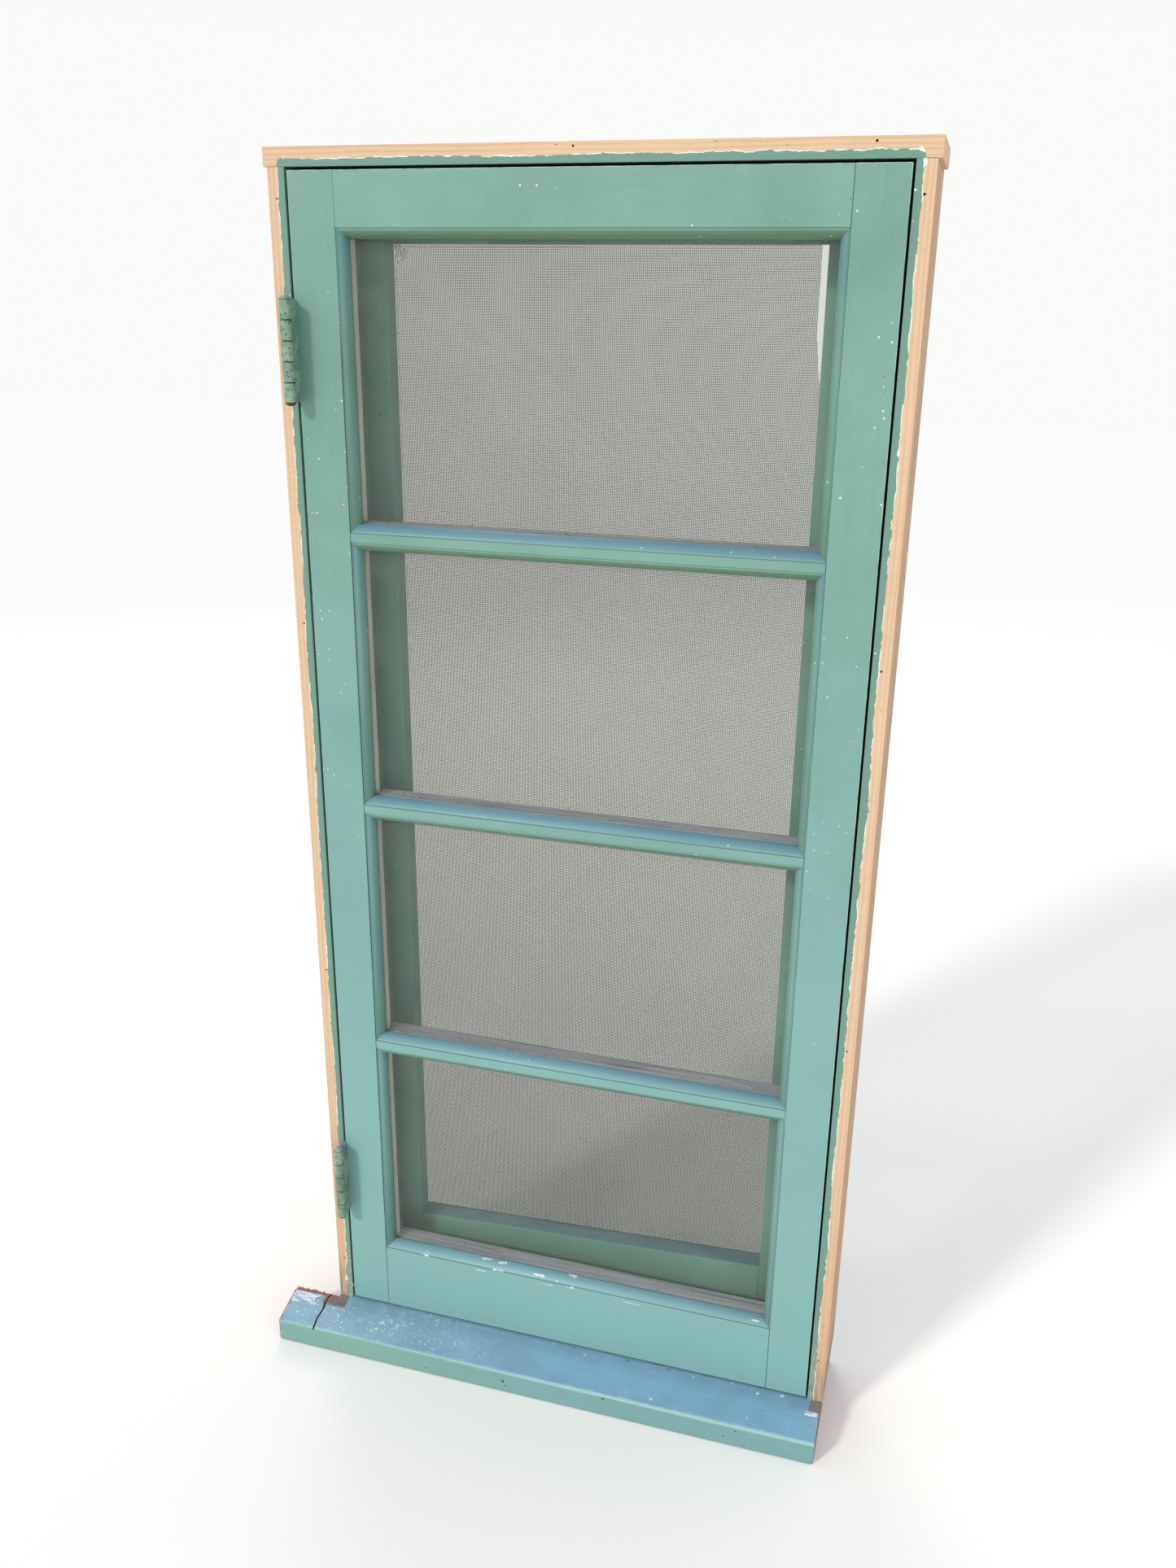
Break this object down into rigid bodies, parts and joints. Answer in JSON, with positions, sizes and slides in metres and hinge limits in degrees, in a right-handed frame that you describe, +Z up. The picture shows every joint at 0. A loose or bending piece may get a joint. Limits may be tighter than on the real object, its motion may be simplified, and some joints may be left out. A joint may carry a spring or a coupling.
{
  "type": "casement window",
  "caption": "Out-swinging painted timber casement window in its jamb frame, with a sloping sill, butt hinges, a turn latch and an in-swinging insect screen.",
  "frame": {"origin": "on the flat underside of the sill, midway between the side jambs, in the plane of the frame's outer face", "axes": "+Z up along the jambs, +Y from the outer face into the building, +X to the right seen from outside"},
  "size_m": [0.7216, 0.176, 1.4605],
  "materials": {
    "bare_jamb_wood": "bare softwood with paint edges",
    "peg_wood": "painted over",
    "window_glass": "old clear sheet glass",
    "weathered_bead": "grey, weathered, old putty",
    "painted_sill": "weathered satin paint",
    "screen_wire": "dark woven wire",
    "painted_screen_wood": "satin paint",
    "painted_stop_wood": "satin paint",
    "painted_hinge_metal": "thick chipped paint",
    "small_hinge_metal": "painted steel",
    "rusty_fixing": "dull rusty steel",
    "worn_brass": "tarnished",
    "painted_sash_wood": "satin blue-green paint"
  },
  "bodies": {
    "frame": {"head_jamb": "bare_jamb_wood", "hinge_jamb": "bare_jamb_wood", "latch_jamb": "bare_jamb_wood", "sill": "painted_sill", "head_stop": "painted_stop_wood", "hinge_stop": "painted_stop_wood", "latch_stop": "painted_stop_wood", "sill_stop": "painted_stop_wood", "frame_nails": "rusty_fixing", "stop_brads": "rusty_fixing", "jamb_hinge_leaves": "painted_hinge_metal", "hinge_pins": "painted_hinge_metal", "jamb_leaf_screws": "rusty_fixing", "latch_keeper": "worn_brass", "keeper_screws": "rusty_fixing", "screen_jamb_leaves": "small_hinge_metal", "screen_hinge_pins": "small_hinge_metal", "screen_jamb_screws": "rusty_fixing", "bolt_strike": "worn_brass", "strike_screws": "rusty_fixing"},
    "sash": {"hinge_stile": "painted_sash_wood", "latch_stile": "painted_sash_wood", "top_rail": "painted_sash_wood", "bottom_rail": "painted_sash_wood", "muntin_1": "painted_sash_wood", "muntin_2": "painted_sash_wood", "muntin_3": "painted_sash_wood", "corner_pegs": "peg_wood", "pane_1": "window_glass", "pane_2": "window_glass", "pane_3": "window_glass", "pane_4": "window_glass", "glazing_beads_1": "weathered_bead", "glazing_beads_2": "weathered_bead", "glazing_beads_3": "weathered_bead", "glazing_beads_4": "weathered_bead", "bead_brads": "rusty_fixing", "sash_hinge_leaves": "painted_hinge_metal", "sash_leaf_screws": "rusty_fixing", "latch_base": "worn_brass", "latch_screws": "rusty_fixing", "latch_rivet": "worn_brass"},
    "latch": {"latch_lever": "worn_brass"},
    "screen": {"screen_hinge_stile": "painted_screen_wood", "screen_latch_stile": "painted_screen_wood", "screen_top_rail": "painted_screen_wood", "screen_bottom_rail": "painted_screen_wood", "screen_mesh": "screen_wire", "screen_beading": "painted_screen_wood", "beading_brads": "rusty_fixing", "screen_leaves": "small_hinge_metal", "screen_leaf_screws": "rusty_fixing", "bolt_case": "worn_brass", "bolt_screws": "rusty_fixing"},
    "bolt": {"slide_bolt": "worn_brass"}
  },
  "joints": [
    {"name": "sash_swing", "type": "hinge", "parent": "frame", "child": "sash", "pos_m": [-0.30605, -0.018, 0.244], "axis": [0, 0, -1], "range_deg": [0, 170]},
    {"name": "latch_turn", "type": "hinge", "parent": "sash", "child": "latch", "pos_m": [0.2728, 0.042, 0.688], "axis": [0, 1, 0], "range_deg": [0, 90]},
    {"name": "screen_swing", "type": "hinge", "parent": "frame", "child": "screen", "pos_m": [-0.3031, 0.0887, 0.197], "axis": [0, 0, 1], "range_deg": [0, 90]},
    {"name": "bolt_slide", "type": "slide", "parent": "screen", "child": "bolt", "axis": [1, 0, 0], "range_m": [0, 0.012]}
  ]
}
